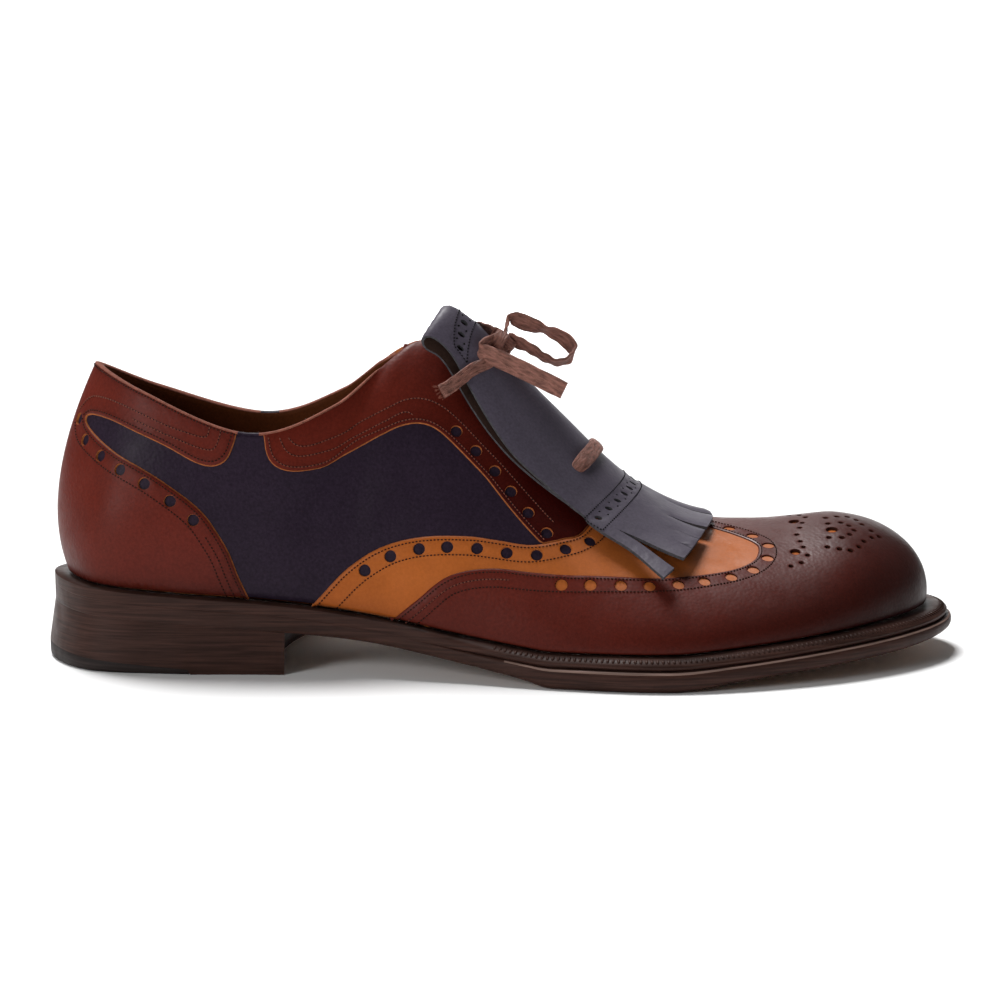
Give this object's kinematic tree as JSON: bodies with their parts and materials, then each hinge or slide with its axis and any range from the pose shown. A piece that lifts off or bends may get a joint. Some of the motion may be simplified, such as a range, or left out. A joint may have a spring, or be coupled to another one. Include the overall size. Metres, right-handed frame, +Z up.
{
  "type": "oxford shoe",
  "caption": "Right low-cut laced leather dress shoe in brown, navy and tan, with a winged toe, punched panels, a folded fringe flap under the lace and a stacked heel.",
  "frame": {"origin": "middle of the shoe's outline on the floor it stands on", "axes": "+X from heel to toe, +Y to the medial side, +Z up"},
  "size_m": [0.3026, 0.1072, 0.1161],
  "materials": {
    "navy_leather": "satin, fine grain",
    "brown_leather": "polished, burnished at the toe",
    "tan_leather": "polished",
    "sole_leather": "waxed edge",
    "lining_leather": "matt",
    "heel_rubber": "matt",
    "lace_cloth": "woven"
  },
  "bodies": {
    "root": {"upper": "navy_leather", "kiltie": "navy_leather", "toe_wing": "brown_leather", "facing_lateral": "brown_leather", "facing_medial": "brown_leather", "counter": "brown_leather", "tongue": "brown_leather", "vamp": "tan_leather", "insole": "lining_leather", "outsole": "sole_leather", "welt": "sole_leather", "heel_stack": "sole_leather", "heel_tip": "heel_rubber", "lace_bar_lower": "lace_cloth", "lace_bar_upper": "lace_cloth", "lace_knot": "lace_cloth", "lace_loop": "lace_cloth", "lace_end_front": "lace_cloth", "lace_end_back": "lace_cloth"}
  },
  "joints": []
}
